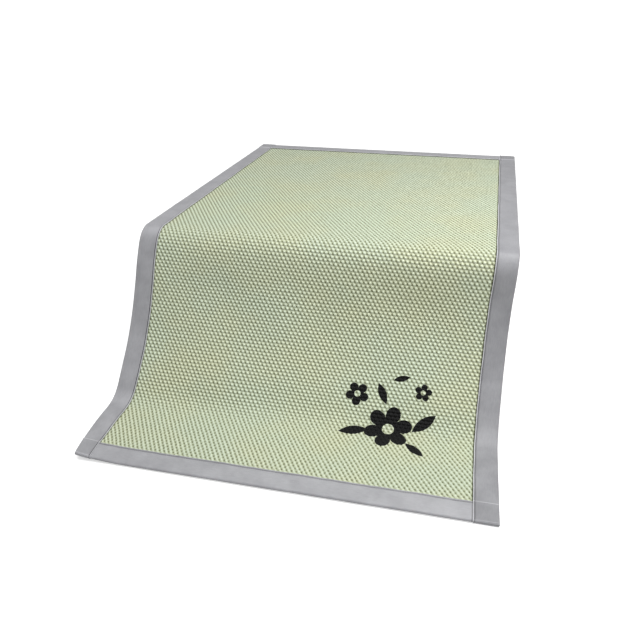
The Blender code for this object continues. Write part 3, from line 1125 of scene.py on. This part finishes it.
def make_piping(name, level, material):
    """A covered cord sewn round the mattress."""
    curve = bpy.data.curves.new(name, "CURVE")
    curve.dimensions = "3D"
    curve.bevel_depth = PIPING_RADIUS
    curve.bevel_resolution = 3
    spline = curve.splines.new("POLY")
    half_x = (MATTRESS_HIGH.x - MATTRESS_LOW.x) / 2
    half_y = (MATTRESS_HIGH.y - MATTRESS_LOW.y) / 2
    centre = (MATTRESS_HIGH + MATTRESS_LOW) / 2
    route = []
    for quarter, (sign_x, sign_y) in enumerate(((1, 1), (-1, 1), (-1, -1), (1, -1))):
        for angle in np.linspace(0, math.pi / 2, CORNER_STEPS):
            turn = quarter * math.pi / 2 + angle
            x = sign_x * (half_x - EDGE_RADIUS) + EDGE_RADIUS * math.cos(turn)
            y = sign_y * (half_y - EDGE_RADIUS) + EDGE_RADIUS * math.sin(turn)
            route.append((centre.x + x, centre.y + y, level))
    spline.points.add(len(route) - 1)
    for point, place in zip(spline.points, route):
        point.co = (*place, 1.0)
    spline.use_cyclic_u = True
    curve.materials.append(material)
    return add_object(name, curve)


# The pieces

weave = make_weave_material()
# Lit and shaded copies of one satin, each with its own painted light level, painted seam shade and
# painted lip highlight
dark_painted_seam_satin = make_tape_material("satin_tape_painted_dark_seam", painted_seam_shade=0.85, painted_lip_highlight=0.55, painted_light_level=0.96)
shaded_satin = make_tape_material("satin_tape_shaded", painted_seam_shade=0.35, painted_lip_highlight=1.4, painted_light_level=0.82)
satin = make_tape_material("satin_tape", painted_seam_shade=0.3, painted_lip_highlight=0.45, painted_light_level=0.98,
                           crossed_at=MAT_WIDTH - SIDE_TAPE_WIDTH)
thread = make_thread_material()
ticking = make_ticking_material("mattress_cover", linear(226, 223, 216), linear(218, 215, 208))
piping_cloth = make_ticking_material("piping_cloth", linear(204, 201, 195), linear(194, 191, 185))

panel = make_panel(weave)
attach(panel, "root")
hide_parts("mat_panel")

TAPES = (
    # side, node, maker, cloth (a lit or shaded copy of one satin), phase of its unevenness
    ("left", "side_binding_left", make_side_tape, dark_painted_seam_satin, 0.4),
    ("right", "side_binding_right", make_side_tape, shaded_satin, 1.9),
    ("back", "back_binding", make_end_tape, dark_painted_seam_satin, 2.7),
    ("front", "front_binding", make_end_tape, satin, 3.8),
)
for place, node, make, cloth, phase in TAPES:
    tape = make(place, cloth, phase)
    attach(tape, "root")
    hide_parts(node)

stitches = make_stitches(thread)
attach(stitches, "root")

block = make_mattress(ticking)
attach(block, "root")
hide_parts("mattress")
PIPINGS = (
    ("piping_top", MATTRESS_HIGH.z - EDGE_RADIUS),
    ("piping_bottom", MATTRESS_LOW.z + EDGE_RADIUS),
)
for name, level in PIPINGS:
    piping = make_piping(name, level, piping_cloth)
    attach(piping, "root")

# The floor, the light and the camera

WHITE = (1.0, 1.0, 1.0, 1.0)
FLOOR_SIZE = 120.0
FLOOR_TONE = 0.7
FLOOR_GLOW = 0.55
SKY_STRENGTH = 0.40
# The fitted camera: focal length and photo width in pixels, yaw, pitch and roll in degrees, and its
# place from the middle of the bend line on the mat's face
FOCAL_PIXELS = 613.0
PHOTO_PIXELS = 640
SENSOR_WIDTH = 36.0
CAMERA_ANGLES = (15.142, 28.81, -0.807)
CAMERA_PLACE = (0.2330, -0.8585, 0.3495)


def make_floor():
    """A wide pale floor that glows a little to the eye alone, so that it reads as white."""
    mesh = bpy.data.meshes.new("floor")
    half = FLOOR_SIZE / 2
    corners = [(-half, -half, 0), (half, -half, 0), (half, half, 0), (-half, half, 0)]
    mesh.from_pydata(corners, [], [(0, 1, 2, 3)])
    material, nodes, shader = new_material("studio_floor")
    seen = nodes.add("LightPath").outputs["Is Camera Ray"]
    nodes.feed(shader, {
        "Base Color": (FLOOR_TONE, FLOOR_TONE, FLOOR_TONE, 1.0),
        "Roughness": 0.9,
        "Specular IOR Level": 0.1,
        "Emission Color": WHITE,
        "Emission Strength": nodes.times(seen, FLOOR_GLOW),
    })
    mesh.materials.append(material)
    floor = add_object("floor", mesh)


def make_sun(name, tilt, strength, softness):
    """A soft light from far off. tilt is its angle from straight above, in degrees as softness is."""
    light = bpy.data.lights.new(name, "SUN")
    light.energy = strength
    light.angle = math.radians(softness)
    add_object(name, light).rotation_euler = (math.radians(tilt), 0.0, 0.0)


def make_lamp(name, place, target, size, power):
    light = bpy.data.lights.new(name, "AREA")
    light.shape = "RECTANGLE"
    light.size, light.size_y = size
    light.energy = power
    lamp = add_object(name, light)
    lamp.location = place
    lamp.rotation_euler = (Vector(target) - Vector(place)).to_track_quat("-Z", "Y").to_euler()


def make_camera():
    """The photo's view."""
    data = bpy.data.cameras.new("camera")
    data.sensor_width = SENSOR_WIDTH
    data.lens = FOCAL_PIXELS / PHOTO_PIXELS * SENSOR_WIDTH
    camera = add_object("camera", data)
    yaw, pitch, roll = (math.radians(angle) for angle in CAMERA_ANGLES)
    ahead = Vector((-math.sin(yaw) * math.cos(pitch), math.cos(yaw) * math.cos(pitch), -math.sin(pitch)))
    level = Vector((math.cos(yaw), math.sin(yaw), 0))
    above = level.cross(ahead)
    right = math.cos(roll) * level + math.sin(roll) * above
    up = -math.sin(roll) * level + math.cos(roll) * above
    matrix = Matrix((right, up, -ahead)).transposed().to_4x4()
    matrix.translation = Vector((CENTRE_X, BEND_Y, LEVEL_Z + HALF_PANEL)) + Vector(CAMERA_PLACE)
    camera.matrix_world = matrix
    bpy.context.scene.camera = camera


def make_world():
    """Even light from all round, seen as plain white."""
    world = bpy.data.worlds.new("studio")
    world.use_nodes = True
    tree = world.node_tree
    nodes = Nodes(tree)
    lit = tree.nodes["Background"]
    nodes.feed(lit, {"Color": WHITE, "Strength": SKY_STRENGTH})
    seen = nodes.add("Background", {"Color": WHITE})
    by_eye = nodes.add("LightPath").outputs["Is Camera Ray"]
    choice = nodes.add("MixShader", {"Fac": by_eye, 1: lit.outputs[0], 2: seen.outputs[0]})
    nodes.feed(tree.nodes["World Output"], {"Surface": choice.outputs[0]})
    bpy.context.scene.world = world


make_floor()
make_sun("top_light", tilt=-5.0, strength=1.42, softness=40.0)
make_lamp("near_light", place=(0.42, -0.60, 1.15), target=(0.05, -0.10, 0.1), size=(0.5, 0.5), power=5.0)
make_lamp("bend_light", place=(0.30, -0.03, 0.80), target=(0.30, -0.03, 0.0), size=(0.4, 0.4), power=1.3)
make_world()
make_camera()
bpy.context.scene.view_settings.view_transform = "Standard"

bpy.context.view_layer.update()
